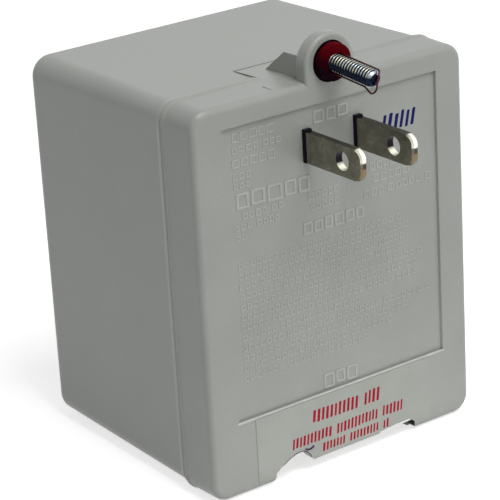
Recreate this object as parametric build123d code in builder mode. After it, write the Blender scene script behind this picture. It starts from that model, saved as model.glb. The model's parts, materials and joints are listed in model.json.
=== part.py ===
from build123d import *
import math
import os

os.makedirs("parts", exist_ok=True)

# Millimetres. +Z up, X across the wall-side face, that face looks towards -Y.
# The part stands on its load end. Origin: bottom centre of the whole part, blades included.

# Laminations: E and I plates with a window half as wide as the middle leg
leg_width = 19.05
window_height = 28.58
core_stack = 25.0
lamination_hole = 3.2
frame_thickness = 0.8
frame_lip = 3.0

# Bobbin and windings
bobbin_clearance = 0.15
bobbin_wall = 1.0
flange_thickness = 1.2
flange_side_gap = 0.3
coil_bulge = 9.1
winding_inset = 1.0
wrap_thickness = 0.3
winding_corner = 3.0
rail_height = 3.0
rail_depth = 3.0
rail_inset = 1.75
pin_diameter = 0.9
pin_length = 6.5
pin_reach = 4.0
primary_pin_x = 3.0
secondary_pin_left_x = 9.0
secondary_pin_right_x = 5.5

# Case walls and the room round the works
wall = 2.4
front_wall = 2.6
side_room = 1.52
top_room = 10.4
front_room = 10.8
back_gap = 0.4
core_rib_height = 5.0
rib_thickness = 1.6
rib_gap = 0.1
fin_height = 24.0
fin_bearing = 3.2

# Case outside
cover_depth = 9.9
rim_step = 0.65
rim_flare = 0.42
rim_lip = 0.3
bead_length = 1.2
bead_flank = 0.4
front_step = 0.25
lip_step = 0.1
lip_crest = 0.35
lip_flank = 0.7
lip_length = 2.1
back_draft = 0.35
back_land = 4.0
corner_radius = 3.6
back_corner_radius = 4.8
front_edge_radius = 1.3
back_edge_radius = 2.6
weld_rib = 1.2
weld_rib_length = 2.4
weld_gap = 0.15

# Sunk panel on the wall-side face
panel_side_margin = 7.1
panel_top_margin = 4.7
panel_bottom_margin = 15.8
panel_sink = 0.55
panel_draft = 15

# Mounting tab, gussets and tongue
tab_radius = 6.1
tab_rise = 2.5
tab_thickness = 3.4
tab_edge_radius = 0.75
screw_hole_radius = 2.6
washer_recess_radius = 4.2
washer_recess_lift = 0.4
washer_recess_depth = 1.6
gusset_thickness = 1.8
gusset_height = 5.1
gusset_drop = 0.1
gusset_flat = 7.6
gusset_reach = 14.2
tongue_half_width = 10.2
tongue_reach = 17.4
tongue_rise = 0.05
tongue_gap = 0.15
tongue_end_gap = 0.35
slot_width = 0.3
slot_start = 13.2
slot_end = 18.8
slit_offset = 3.0
slit_start = 1.7
slit_length = 2.9
slit_width = 0.3
slit_depth = 0.25

# Plug blades, standard North American pattern
blade_width = 6.35
blade_thickness = 1.52
blade_spacing = 12.7
blade_reach = 17.4
blade_tip_radius = 2.0
blade_tip_chamfer = 0.35
blade_hole_distance = 11.6
blade_hole_diameter = 3.9
blade_clearance = 0.12
screw_to_blades = 15.5
shoulder_width = 9.4
shoulder_length = 3.0
tail_width = 3.2
tail_length = 5.4
tail_hole = 1.2
retainer_thickness = 2.0
retainer_width = 36.0
retainer_height = 13.0
post_radius = 2.4
post_spacing = 29.0
peg_radius = 1.1
peg_head = 0.6

# Mounting screw, No. 6-32, and its fibre washer
screw_diameter = 3.5
screw_reach = 13.6
screw_droop = 4.4
screw_bearing_gap = 0.05
screw_head_radius = 3.4
screw_head_height = 2.2
screw_head_gap = 0.35
screw_head_side_gap = 0.2
screw_slot_width = 1.0
screw_slot_depth = 1.1
screw_tip_chamfer = 0.5
screw_cup_radius = 1.0
screw_cup_depth = 0.5
screw_cup_taper = 30
washer_radius = 3.8
washer_thickness = 1.5
washer_proud = 1.7
washer_bore_gap = 0.05
loop_wire = 0.35
loop_gap = 0.06
loop_angle = 56.0
loop_sag = 0.8
loop_dip = 1.65
loop_overrun = 1.8
loop_bend = 0.8

# Terminal pocket in the load end
pocket_half_width = 18.3
pocket_depth = 24.0
pocket_height = 12.85
pocket_wall = 1.8
notch_height = 2.15
notch_flare = 0.8
notch_corner_radius = 0.9
scallop_rise = 3.0
scallop_run = 2.45
scallop_radius = 1.6
block_front = 7.2
block_length = 14.0
block_height = 5.5
block_side_gap = 1.6
block_peg_radius = 1.4
block_peg_gap = 0.1
block_peg_head = 0.7
block_chamfer = 0.45
terminal_wall_gap = 2.7
terminal_y = 13.0
plate_width = 9.0
plate_length = 10.0
plate_thickness = 0.8
plate_tail_width = 3.0
plate_tail_rise = 4.2
plate_tail_gap = 0.2
binding_head_radius = 3.3
binding_head_height = 2.2
binding_shank_radius = 1.75
binding_shank_length = 5.2
binding_gap = 0.1
binding_slot_width = 1.0
binding_slot_depth = 1.0

# Film over the notch
film_thickness = 0.15
film_half_width = 22.6
film_top_gap = 0.4
film_bottom_margin = 0.5
film_bridge_right = 17.2
film_bridge_drop = 0.1
film_bridge_rise = 0.5

# Wiring inside
lead_radius = 0.8
lead_bend = 1.3
lead_stub = 2.4
cutoff_radius = 1.5
cutoff_length = 8.0
cutoff_wire_radius = 0.4
cutoff_gap = 0.05
band_thickness = 0.3
band_width = 5.0
band_flap = 1.2
fuse_radius = 1.6
fuse_length = 9.0
fuse_wire_radius = 0.4
fuse_wire_reach = 1.5
fuse_rail_gap = 0.4
fuse_stub = 1.8
sleeve_wall = 0.4
sleeve_overrun = 0.4

# Sizes that follow
window_width = leg_width / 2
lamination_width = leg_width * 3
yoke_height = leg_width / 2
e_height = yoke_height + window_height
core_height = e_height + yoke_height
coil_depth = core_stack + 2 * coil_bulge

shell_width = lamination_width + 2 * (frame_thickness + side_room + wall)
pocket_block_height = pocket_height + pocket_wall
works_height = core_rib_height + core_height + frame_thickness
shell_height = pocket_block_height + works_height + top_room + wall
case_depth = front_wall + front_room + coil_depth + back_gap + wall

face_y = -(case_depth - blade_reach) / 2
seam_y = face_y + cover_depth
bead_y = seam_y - bead_length
back_y = face_y + case_depth
shell_bottom_z = rim_step
shell_top_z = rim_step + shell_height
mid_z = (shell_bottom_z + shell_top_z) / 2
rim_top_z = shell_top_z + rim_step
face_top_z = shell_top_z + front_step
face_bottom_z = shell_bottom_z - front_step

pocket_top_z = shell_bottom_z + pocket_height
floor_z = pocket_top_z + pocket_wall
core_z = floor_z + core_rib_height
core_y = back_y - wall - back_gap - coil_depth / 2
core_front_y = core_y - core_stack / 2
core_back_y = core_y + core_stack / 2
frame_top_z = core_z + core_height + frame_thickness
coil_front_y = core_y - coil_depth / 2
fin_x = lamination_width / 2 - fin_bearing
fin_low_z = core_z + (core_height - fin_height) / 2

terminal_x = pocket_half_width - terminal_wall_gap - plate_width / 2
scallop_inner_x = terminal_x - scallop_run

gusset_x = screw_head_radius + screw_head_side_gap + gusset_thickness / 2
screw_z = rim_top_z + tab_rise
blade_z = screw_z - screw_to_blades
inner_face_y = face_y + front_wall
tail_start_y = inner_face_y + shoulder_length + retainer_thickness
tail_end_y = tail_start_y + tail_length


def case_section(y, grow, corner=corner_radius):
    """Rounded outline of the case at one depth, grown or shrunk all round."""
    with BuildSketch(Plane.XZ.offset(-y)) as section:
        with Locations((0, mid_z)):
            RectangleRounded(shell_width + 2 * grow, shell_height + 2 * grow, corner + grow)
    return section.sketch


def block_sketch(y, left, right, low, high):
    """Rectangle across the case at one depth."""
    with BuildSketch(Plane.XZ.offset(-y)) as rectangle:
        with Locations(((left + right) / 2, (low + high) / 2)):
            Rectangle(right - left, high - low)
    return rectangle.sketch


def round_sketch(y, x, z, radius):
    """Circle across the case at one depth."""
    with BuildSketch(Plane.XZ.offset(-y)) as circle:
        with Locations((x, z)):
            Circle(radius)
    return circle.sketch


def lead_path(points, radius):
    """Straight runs with a tangent arc at each corner."""
    with BuildLine() as path:
        FilletPolyline(*points, radius=radius)
    return path.line


def finish(piece, name):
    piece.part.label = name
    export_step(piece.part, f"parts/{name}.step")


# Terminal notch: a low wide cut-out with a rounded scallop at each terminal and flared feet
with BuildSketch(Plane.XZ.offset(-(face_y + front_wall))) as notch:
    with BuildLine():
        low_z = -rim_step
        top_z = face_bottom_z + notch_height
        flare_x = pocket_half_width + notch_flare
        flare_z = face_bottom_z + notch_flare
        Polyline(
            (-flare_x, low_z),
            (-flare_x, face_bottom_z),
            (-pocket_half_width, flare_z),
            (-pocket_half_width, top_z),
            (-terminal_x, top_z + scallop_rise),
            (-scallop_inner_x, top_z),
            (scallop_inner_x, top_z),
            (terminal_x, top_z + scallop_rise),
            (pocket_half_width, top_z),
            (pocket_half_width, flare_z),
            (flare_x, face_bottom_z),
            (flare_x, low_z),
            close=True,
        )
    make_face()
    fillet(notch.vertices().group_by(Axis.Y)[-1], radius=scallop_radius)
    side_corners = notch.vertices().filter_by(
        lambda v: abs(v.X) > terminal_x + scallop_radius and v.Y > face_bottom_z + notch_flare / 2
    )
    fillet(side_corners, radius=notch_corner_radius)

# Mounting tab: a round-topped ear in line with the wall-side face
with BuildPart() as tab:
    with BuildSketch(Plane.XZ.offset(-(face_y + tab_thickness))):
        with Locations((0, screw_z)):
            Circle(tab_radius)
        with Locations((0, screw_z)):
            Rectangle(2 * tab_radius, tab_rise + tab_radius, align=(Align.CENTER, Align.MAX))
    extrude(amount=tab_thickness)
    arches = tab.edges().filter_by(GeomType.CIRCLE).group_by(Axis.Y)
    fillet(arches[0] + arches[-1], radius=tab_edge_radius)

# Wall-side cover
with BuildPart() as front_cover:
    cover_sections = [
        case_section(seam_y, rim_lip),
        case_section(seam_y - bead_flank, rim_step),
        case_section(bead_y + bead_flank, rim_step),
        case_section(bead_y, rim_flare),
        case_section(face_y, front_step),
    ]
    loft(cover_sections, ruled=True)
    fillet(front_cover.faces().sort_by(Axis.Y)[0].edges(), radius=front_edge_radius)
    add(tab.part)

    # Tongue that reaches back over the shell: the cover's top runs on over it, without the bead
    tongue_bottom_z = shell_top_z - wall
    tongue_root_y = seam_y - weld_rib_length - weld_gap
    tongue_end_y = face_y + tongue_reach
    tongue_end_z = shell_top_z + tongue_rise
    flare_top_z = shell_top_z + rim_flare
    with BuildSketch(Plane.YZ):
        with BuildLine():
            Polyline(
                (tongue_root_y, tongue_bottom_z),
                (tongue_end_y, tongue_bottom_z),
                (tongue_end_y, tongue_end_z),
                (bead_y, flare_top_z),
                (tongue_root_y, shell_top_z),
                close=True,
            )
        make_face()
    extrude(amount=tongue_half_width, both=True)
    with BuildSketch(Plane.YZ):
        with BuildLine():
            clear_z = rim_top_z + rim_step
            Polyline(
                (bead_y, flare_top_z),
                (tongue_end_y, tongue_end_z),
                (tongue_end_y, clear_z),
                (bead_y, clear_z),
                close=True,
            )
        make_face()
    extrude(amount=tongue_half_width, both=True, mode=Mode.SUBTRACT)

    # Two gussets brace the tab and leave room for the screw's head
    for side in (-1, 1):
        with BuildSketch(Plane.YZ.offset(side * gusset_x - gusset_thickness / 2)):
            with BuildLine():
                Polyline(
                    (face_y + tab_thickness / 2, shell_top_z - wall / 2),
                    (face_y + tab_thickness / 2, shell_top_z + gusset_height),
                    (face_y + gusset_flat, shell_top_z + gusset_height - gusset_drop),
                    (face_y + gusset_reach, shell_top_z),
                    (face_y + gusset_reach, shell_top_z - wall / 2),
                    close=True,
                )
            make_face()
        extrude(amount=gusset_thickness)

    # Inside: a main hollow, and a rabbet for the shell's weld rib
    extrude(case_section(seam_y, -wall), amount=cover_depth - front_wall, mode=Mode.SUBTRACT)
    rabbet = case_section(seam_y, -(wall - weld_rib - weld_gap))
    extrude(rabbet, amount=weld_rib_length + weld_gap, mode=Mode.SUBTRACT)
    extrude(
        block_sketch(seam_y, -tongue_half_width, tongue_half_width, tongue_bottom_z, shell_top_z),
        amount=weld_rib_length + 2 * weld_gap,
    )

    # Front half of the terminal pocket
    pocket_outer = pocket_half_width + pocket_wall
    extrude(
        block_sketch(seam_y, -pocket_outer, pocket_outer, shell_bottom_z + wall / 2, floor_z),
        amount=cover_depth - front_wall,
    )
    extrude(
        block_sketch(seam_y, -pocket_half_width, pocket_half_width, -rim_step, pocket_top_z),
        amount=cover_depth - front_wall,
        mode=Mode.SUBTRACT,
    )
    extrude(notch.sketch, amount=2 * front_wall, mode=Mode.SUBTRACT)

    # Posts that carry the blade retainer, with pegs to stake over
    for x in (-post_spacing / 2, post_spacing / 2):
        post_end = inner_face_y + shoulder_length
        extrude(round_sketch(post_end, x, blade_z, post_radius), amount=shoulder_length)
        peg_end = post_end + retainer_thickness + peg_head
        extrude(round_sketch(peg_end, x, blade_z, peg_radius), amount=retainer_thickness + peg_head)

    # Two fins that hold the core back, one on each outer leg
    for x in (-fin_x, fin_x):
        fin_end_y = core_front_y - rib_gap
        fin = block_sketch(
            fin_end_y, x - rib_thickness / 2, x + rib_thickness / 2, fin_low_z, fin_low_z + fin_height
        )
        extrude(fin, amount=fin_end_y - inner_face_y)

    # Sunk panel
    panel_edge = shell_width / 2 + front_step - panel_side_margin
    panel = block_sketch(
        face_y + panel_sink,
        -panel_edge,
        panel_edge,
        face_bottom_z + panel_bottom_margin,
        face_top_z - panel_top_margin,
    )
    extrude(panel, amount=2 * panel_sink, taper=-panel_draft, mode=Mode.SUBTRACT)

    # Blade slots
    with BuildSketch(Plane.XZ.offset(-inner_face_y)):
        with Locations((0, blade_z)):
            with GridLocations(blade_spacing, 0, 2, 1):
                Rectangle(blade_thickness + 2 * blade_clearance, blade_width + 2 * blade_clearance)
    extrude(amount=front_wall, mode=Mode.SUBTRACT)

    # Screw hole and washer recess
    tab_back_y = face_y + tab_thickness
    screw_hole = round_sketch(tab_back_y, 0, screw_z, screw_hole_radius)
    extrude(screw_hole, amount=tab_thickness, mode=Mode.SUBTRACT)
    recess_z = screw_z + washer_recess_lift
    recess = round_sketch(face_y + washer_recess_depth, 0, recess_z, washer_recess_radius)
    extrude(recess, amount=washer_recess_depth, mode=Mode.SUBTRACT)

    # Short slit in the top, beside the tab
    slit_x = -tongue_half_width - slit_offset
    slit_mid_y = face_y + slit_start + slit_length / 2
    with BuildSketch(Plane.XY.offset(rim_top_z)):
        with Locations((slit_x, slit_mid_y)):
            Rectangle(slit_width, slit_length)
    extrude(amount=-(rim_step - front_step + slit_depth), mode=Mode.SUBTRACT)
finish(front_cover, "front_cover")

# Deep rear shell
with BuildPart() as back_shell:
    shell_sections = [
        case_section(back_y, -back_draft, back_corner_radius),
        case_section(back_y - back_land, -back_draft, back_corner_radius),
        case_section(seam_y + lip_length, 0),
        case_section(seam_y + lip_flank, lip_crest),
        case_section(seam_y, lip_step),
    ]
    loft(shell_sections, ruled=True)
    fillet(back_shell.faces().sort_by(Axis.Y)[-1].edges(), radius=back_edge_radius)
    inner_back_y = back_y - wall
    hollow_back = case_section(inner_back_y, -wall - back_draft, back_corner_radius)
    loft([hollow_back, case_section(seam_y, -wall)], mode=Mode.SUBTRACT)

    # Weld rib that enters the cover's rabbet
    with BuildSketch(Plane.XZ.offset(-seam_y)):
        add(case_section(seam_y, -(wall - weld_rib)))
        add(case_section(seam_y, -wall), mode=Mode.SUBTRACT)
    extrude(amount=weld_rib_length)

    # Ribs from the back wall that hold the core below, above, behind and at both sides
    rib_length = inner_back_y - core_front_y
    inner_half = shell_width / 2 - wall / 2
    frame_half = lamination_width / 2 + frame_thickness
    for x in (-leg_width, leg_width):
        low_rib = block_sketch(
            inner_back_y, x - rib_thickness / 2, x + rib_thickness / 2, shell_bottom_z + wall / 2, core_z
        )
        extrude(low_rib, amount=rib_length)
        high_rib = block_sketch(
            inner_back_y,
            x - rib_thickness / 2,
            x + rib_thickness / 2,
            frame_top_z + rib_gap,
            shell_top_z - wall / 2,
        )
        extrude(high_rib, amount=rib_length)
    for x in (-fin_x, fin_x):
        stop = block_sketch(
            inner_back_y, x - rib_thickness / 2, x + rib_thickness / 2, fin_low_z, fin_low_z + fin_height
        )
        extrude(stop, amount=inner_back_y - core_back_y - rib_gap)
    for side in (-1, 1):
        for z in (core_z + yoke_height, core_z + core_height - yoke_height):
            ends = sorted((side * (frame_half + rib_gap), side * inner_half))
            side_rib = block_sketch(
                inner_back_y, ends[0], ends[1], z - rib_thickness / 2, z + rib_thickness / 2
            )
            extrude(side_rib, amount=rib_length)

    # Rear half of the terminal pocket
    pocket_back_y = face_y + pocket_depth
    extrude(
        block_sketch(
            pocket_back_y + pocket_wall, -pocket_outer, pocket_outer, shell_bottom_z + wall / 2, floor_z
        ),
        amount=pocket_back_y + pocket_wall - seam_y,
    )
    extrude(
        block_sketch(pocket_back_y, -pocket_half_width, pocket_half_width, -rim_step, pocket_top_z),
        amount=pocket_depth,
        mode=Mode.SUBTRACT,
    )
    rib_break = pocket_outer + weld_gap
    extrude(
        block_sketch(seam_y, -rib_break, rib_break, -rim_step, floor_z + weld_gap),
        amount=2 * weld_rib_length,
        mode=Mode.SUBTRACT,
    )

    # Notch for the cover's tongue, with an open slot at each side of its end
    notch_end_y = tongue_end_y + tongue_end_gap
    notch_half = tongue_half_width + tongue_gap
    extrude(
        block_sketch(notch_end_y, -notch_half, notch_half, tongue_bottom_z - weld_gap, rim_top_z),
        amount=notch_end_y - seam_y + 2 * weld_rib_length,
        mode=Mode.SUBTRACT,
    )
    for side in (-1, 1):
        slot_x = side * (notch_half + slot_width / 2 - tongue_gap)
        with BuildSketch(Plane.XY.offset(rim_top_z)):
            with Locations((slot_x, face_y + (slot_start + slot_end) / 2)):
                Rectangle(slot_width, slot_end - slot_start)
        extrude(amount=-(rim_step + wall / 2), mode=Mode.SUBTRACT)

    # Roof of the pocket: holes for the block's pegs and slots for the terminal tails
    tail_y = face_y + terminal_y + plate_length / 2 - plate_thickness / 2
    peg_y = face_y + block_front + block_length / 2
    with BuildSketch(Plane.XY.offset(pocket_top_z)):
        with Locations((0, peg_y)):
            with GridLocations(terminal_x, 0, 2, 1):
                Circle(block_peg_radius + block_peg_gap)
        with Locations((0, tail_y)):
            with GridLocations(2 * terminal_x, 0, 2, 1):
                Rectangle(plate_tail_width + 2 * plate_tail_gap, plate_thickness + 2 * plate_tail_gap)
    extrude(amount=pocket_wall, mode=Mode.SUBTRACT)
finish(back_shell, "back_shell")

# Plug blades: brass strip with a holed, rounded tip, shoulders behind the wall and a solder tail
for name, x in (("blade_left", -blade_spacing / 2), ("blade_right", blade_spacing / 2)):
    with BuildPart() as blade:
        with BuildSketch(Plane.YZ.offset(x - blade_thickness / 2)) as nose:
            with Locations((face_y - blade_reach, blade_z)):
                Rectangle(1.5 * blade_tip_radius, blade_width, align=(Align.MIN, Align.CENTER))
            fillet(nose.vertices().group_by(Axis.X)[0], radius=blade_tip_radius)
        extrude(amount=blade_thickness)
        nose_end = blade.faces().sort_by(Axis.Y)[-1].center().Y
        bevelled = blade.faces().filter_by(Axis.X).edges().filter_by(lambda e: e.center().Y < nose_end)
        chamfer(bevelled, length=blade_tip_chamfer)
        with BuildSketch(Plane.YZ.offset(x - blade_thickness / 2)):
            with Locations((face_y - blade_reach + blade_tip_radius, blade_z)):
                strip_length = blade_reach - blade_tip_radius + front_wall
                Rectangle(strip_length, blade_width, align=(Align.MIN, Align.CENTER))
            with Locations((inner_face_y, blade_z)):
                Rectangle(shoulder_length, shoulder_width, align=(Align.MIN, Align.CENTER))
            with Locations((inner_face_y + shoulder_length, blade_z)):
                tail = retainer_thickness + tail_length
                Rectangle(tail, tail_width, align=(Align.MIN, Align.CENTER))
        extrude(amount=blade_thickness)
        with BuildSketch(Plane.YZ.offset(x - blade_thickness / 2)):
            with Locations((face_y - blade_hole_distance, blade_z)):
                Circle(blade_hole_diameter / 2)
            with Locations((tail_end_y - tail_length / 2, blade_z)):
                Circle(tail_hole / 2)
        extrude(amount=blade_thickness, mode=Mode.SUBTRACT)
    finish(blade, name)

# Plate that locks both blades, staked on the cover's posts
with BuildPart() as blade_retainer:
    retainer_back_y = inner_face_y + shoulder_length + retainer_thickness
    with BuildSketch(Plane.XZ.offset(-retainer_back_y)):
        with Locations((0, blade_z)):
            RectangleRounded(retainer_width, retainer_height, post_radius)
            with GridLocations(blade_spacing, 0, 2, 1):
                slot_high = tail_width + 2 * blade_clearance
                Rectangle(blade_thickness + 2 * blade_clearance, slot_high, mode=Mode.SUBTRACT)
            with GridLocations(post_spacing, 0, 2, 1):
                Circle(peg_radius + block_peg_gap, mode=Mode.SUBTRACT)
    extrude(amount=retainer_thickness)
finish(blade_retainer, "blade_retainer")

# Mounting screw: it lies loose in the tab, its shank under the hole's back edge, so its tip droops
droop = math.radians(screw_droop)
washer_front_y = face_y - washer_proud
bearing_z = screw_z + screw_hole_radius - screw_diameter / 2 - screw_bearing_gap
axis_z = bearing_z - (washer_proud + tab_thickness) * math.tan(droop)
screw_axis = Plane(
    origin=(0, washer_front_y, axis_z),
    x_dir=(1, 0, 0),
    z_dir=(0, -math.cos(droop), -math.sin(droop)),
)
shank_front = screw_reach - washer_proud
shank_back = washer_proud + tab_thickness + screw_head_gap
with BuildPart() as mounting_screw:
    with BuildSketch(screw_axis.offset(-shank_back)):
        Circle(screw_diameter / 2)
    extrude(amount=shank_back + shank_front)
    tip = mounting_screw.faces().sort_by(Axis.Y)[0]
    chamfer(tip.edges(), length=screw_tip_chamfer)
    with BuildSketch(screw_axis.offset(shank_front)):
        Circle(screw_cup_radius)
    extrude(amount=-screw_cup_depth, taper=screw_cup_taper, mode=Mode.SUBTRACT)
    with BuildSketch(screw_axis.offset(-shank_back)):
        Circle(screw_head_radius)
    extrude(amount=-screw_head_height)
    head_rim = mounting_screw.faces().sort_by(Axis.Y)[-1].edges()
    chamfer(head_rim, length=screw_head_height / 3)
    with BuildSketch(screw_axis.offset(-shank_back - screw_head_height)):
        Rectangle(3 * screw_head_radius, screw_slot_width)
    extrude(amount=screw_slot_depth, mode=Mode.SUBTRACT)
finish(mounting_screw, "mounting_screw")

# Fibre washer, held on the screw's thread
with BuildPart() as fibre_washer:
    with BuildSketch(screw_axis):
        Circle(washer_radius)
        Circle(screw_diameter / 2 + washer_bore_gap, mode=Mode.SUBTRACT)
    extrude(amount=-washer_thickness)
finish(fibre_washer, "fibre_washer")

# Thin wire loop that lies along the screw, dips below it and comes back round its tip
with BuildPart() as retainer_loop:
    wire_offset = screw_diameter / 2 + loop_wire / 2 + loop_gap
    across = (math.cos(math.radians(loop_angle)), math.sin(math.radians(loop_angle)))
    route = [
        (-wire_offset, 0),
        (-wire_offset, shank_front - loop_dip),
        (-wire_offset - loop_sag, shank_front + loop_overrun / 2),
        (-wire_offset, shank_front + loop_overrun),
        (wire_offset, shank_front),
        (wire_offset, 0),
    ]
    loop_points = [screw_axis.from_local_coords((s * across[0], s * across[1], t)) for s, t in route]
    loop_line = lead_path(loop_points, loop_bend)
    with BuildSketch(screw_axis):
        with Locations((-wire_offset * across[0], -wire_offset * across[1])):
            Circle(loop_wire / 2)
    sweep(path=loop_line)
finish(retainer_loop, "retainer_loop")

# Clear film on the face below the panel: it bridges the notch's right part
with BuildPart() as label_film:
    film_top_z = face_bottom_z + panel_bottom_margin - film_top_gap
    film_bottom_z = face_bottom_z + film_bottom_margin + front_edge_radius / 2
    bridge_z = face_bottom_z + notch_height - film_bridge_drop
    with BuildSketch(Plane.XZ.offset(-face_y)):
        add(block_sketch(face_y, -film_half_width, film_half_width, film_bottom_z, film_top_z))
        add(notch.sketch.moved(Location((0, -front_wall, 0))), mode=Mode.SUBTRACT)
        with BuildLine():
            Polyline(
                (-scallop_inner_x, film_top_z),
                (-scallop_inner_x, bridge_z),
                (film_bridge_right, bridge_z + film_bridge_rise),
                (film_bridge_right, film_top_z),
                close=True,
            )
        make_face()
    extrude(amount=film_thickness)
finish(label_film, "label_film")

# E laminations, varnished into one stack
with BuildPart() as core_e_stack:
    with BuildSketch(Plane.XZ.offset(-core_back_y)):
        with Locations((0, core_z + e_height / 2)):
            Rectangle(lamination_width, e_height)
        with Locations((0, core_z + yoke_height + window_height / 2)):
            with GridLocations(leg_width + window_width, 0, 2, 1):
                Rectangle(window_width, window_height, mode=Mode.SUBTRACT)
        with Locations((0, core_z + yoke_height / 2)):
            with GridLocations(lamination_width - yoke_height, 0, 2, 1):
                Circle(lamination_hole / 2, mode=Mode.SUBTRACT)
    extrude(amount=core_stack)
finish(core_e_stack, "core_e_stack")

# I laminations across the open ends of the legs
with BuildPart() as core_i_stack:
    with BuildSketch(Plane.XZ.offset(-core_back_y)):
        with Locations((0, core_z + e_height + yoke_height / 2)):
            Rectangle(lamination_width, yoke_height)
            with GridLocations(lamination_width - yoke_height, 0, 2, 1):
                Circle(lamination_hole / 2, mode=Mode.SUBTRACT)
    extrude(amount=core_stack)
finish(core_i_stack, "core_i_stack")

# Steel U frame bent over the core, with lips turned in below
with BuildPart() as core_frame:
    with BuildSketch(Plane.XZ.offset(-core_back_y)):
        frame_bottom_z = core_z - frame_thickness
        with Locations((0, frame_bottom_z)):
            frame_height = core_height + 2 * frame_thickness
            Rectangle(2 * frame_half, frame_height, align=(Align.CENTER, Align.MIN))
        with Locations((0, core_z)):
            Rectangle(lamination_width, core_height, align=(Align.CENTER, Align.MIN), mode=Mode.SUBTRACT)
        with Locations((0, frame_bottom_z)):
            lip_opening = lamination_width - 2 * frame_lip
            Rectangle(lip_opening, frame_thickness, align=(Align.CENTER, Align.MIN), mode=Mode.SUBTRACT)
    extrude(amount=core_stack)
finish(core_frame, "core_frame")

# Split bobbin: a tube on the middle leg, three flanges and a pin rail at each end
bore_x = leg_width / 2 + bobbin_clearance
bore_y = core_stack / 2 + bobbin_clearance
tube_x = bore_x + bobbin_wall
tube_y = bore_y + bobbin_wall
flange_x = leg_width / 2 + window_width - flange_side_gap
flange_y = coil_depth / 2
rail_half_width = flange_x - rail_inset
blade_x = blade_spacing / 2
tail_mid_y = tail_end_y - tail_length / 2
bobbin_low_z = core_z + yoke_height + bobbin_clearance
bobbin_high_z = core_z + e_height - bobbin_clearance
bobbin_mid_z = (bobbin_low_z + bobbin_high_z) / 2
low_pin_z = bobbin_low_z - rail_height / 2
high_pin_z = bobbin_high_z + rail_height / 2
pin_places = (
    (-blade_x, high_pin_z),
    (primary_pin_x, high_pin_z),
    (-secondary_pin_left_x, low_pin_z),
    (-secondary_pin_right_x, low_pin_z),
)


def coil_ring(z, half_x, half_y, hole_x, hole_y, corner):
    """Rectangular ring round the middle leg, seen from above."""
    with BuildSketch(Plane.XY.offset(z)) as ring:
        with Locations((0, core_y)):
            RectangleRounded(2 * half_x, 2 * half_y, corner)
            Rectangle(2 * hole_x, 2 * hole_y, mode=Mode.SUBTRACT)
    return ring.sketch


with BuildPart() as bobbin:
    tube = coil_ring(bobbin_low_z, tube_x, tube_y, bore_x, bore_y, bobbin_wall / 2)
    extrude(tube, amount=bobbin_high_z - bobbin_low_z)
    for z in (bobbin_low_z, bobbin_mid_z - flange_thickness / 2, bobbin_high_z - flange_thickness):
        flange = coil_ring(z, flange_x, flange_y, bore_x, bore_y, flange_thickness)
        extrude(flange, amount=flange_thickness)
    for z in (low_pin_z, high_pin_z):
        rail_low_z = z - rail_height / 2
        rail = block_sketch(
            coil_front_y + rail_depth, -rail_half_width, rail_half_width, rail_low_z, rail_low_z + rail_height
        )
        extrude(rail, amount=rail_depth)
    pin_depth = pin_length - pin_reach
    for x, z in pin_places:
        hole = round_sketch(coil_front_y + pin_depth, x, z, pin_diameter / 2 + cutoff_gap)
        extrude(hole, amount=pin_depth, mode=Mode.SUBTRACT)
finish(bobbin, "bobbin")

# Four solder pins in the rails
with BuildPart() as bobbin_pins:
    for x, z in pin_places:
        extrude(round_sketch(coil_front_y + pin_depth, x, z, pin_diameter / 2), amount=pin_length)
finish(bobbin_pins, "bobbin_pins")

# Windings, each in its own chamber, and the tape round them
winding_x = flange_x - winding_inset
winding_y = flange_y - winding_inset
primary_low_z = bobbin_mid_z + flange_thickness / 2
primary_high_z = bobbin_high_z - flange_thickness
secondary_low_z = bobbin_low_z + flange_thickness
secondary_high_z = bobbin_mid_z - flange_thickness / 2
wrap_x = winding_x + wrap_thickness
wrap_y = winding_y + wrap_thickness
for name, low, high in (
    ("primary", primary_low_z, primary_high_z),
    ("secondary", secondary_low_z, secondary_high_z),
):
    with BuildPart() as winding:
        extrude(coil_ring(low, winding_x, winding_y, tube_x, tube_y, winding_corner), amount=high - low)
    finish(winding, f"{name}_winding")
    with BuildPart() as wrap:
        with BuildSketch(Plane.XY.offset(low)):
            with Locations((0, core_y)):
                RectangleRounded(2 * wrap_x, 2 * wrap_y, winding_corner + wrap_thickness)
                RectangleRounded(2 * winding_x, 2 * winding_y, winding_corner, mode=Mode.SUBTRACT)
        extrude(amount=high - low)
    finish(wrap, f"{name}_wrap")

# One-shot thermal cut-off that lies on the primary, with its own two wires
wrap_front_y = core_y - wrap_y
cutoff_y = wrap_front_y - cutoff_radius - cutoff_gap
cutoff_z = (primary_low_z + primary_high_z) / 2
cutoff_left_x = primary_pin_x + cutoff_radius
cutoff_right_x = cutoff_left_x + cutoff_length
cutoff_end_x = cutoff_right_x + cutoff_radius
pin_y = coil_front_y - pin_reach / 2
with BuildPart() as thermal_cutoff:
    with BuildSketch(Plane.YZ.offset(cutoff_left_x)):
        with Locations((cutoff_y, cutoff_z)):
            Circle(cutoff_radius)
    extrude(amount=cutoff_length)
    with BuildSketch(Plane.YZ.offset(cutoff_right_x)):
        with Locations((cutoff_y, cutoff_z)):
            Circle(cutoff_wire_radius)
    extrude(amount=cutoff_radius)
    wire_top = high_pin_z - pin_diameter / 2
    wire_line = lead_path(
        [
            (cutoff_left_x, cutoff_y, cutoff_z),
            (primary_pin_x, cutoff_y, cutoff_z),
            (primary_pin_x, cutoff_y, wire_top),
        ],
        cutoff_radius / 2,
    )
    with BuildSketch(Plane.YZ.offset(cutoff_left_x)):
        with Locations((cutoff_y, cutoff_z)):
            Circle(cutoff_wire_radius)
    sweep(path=wire_line)
finish(thermal_cutoff, "thermal_cutoff")

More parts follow.
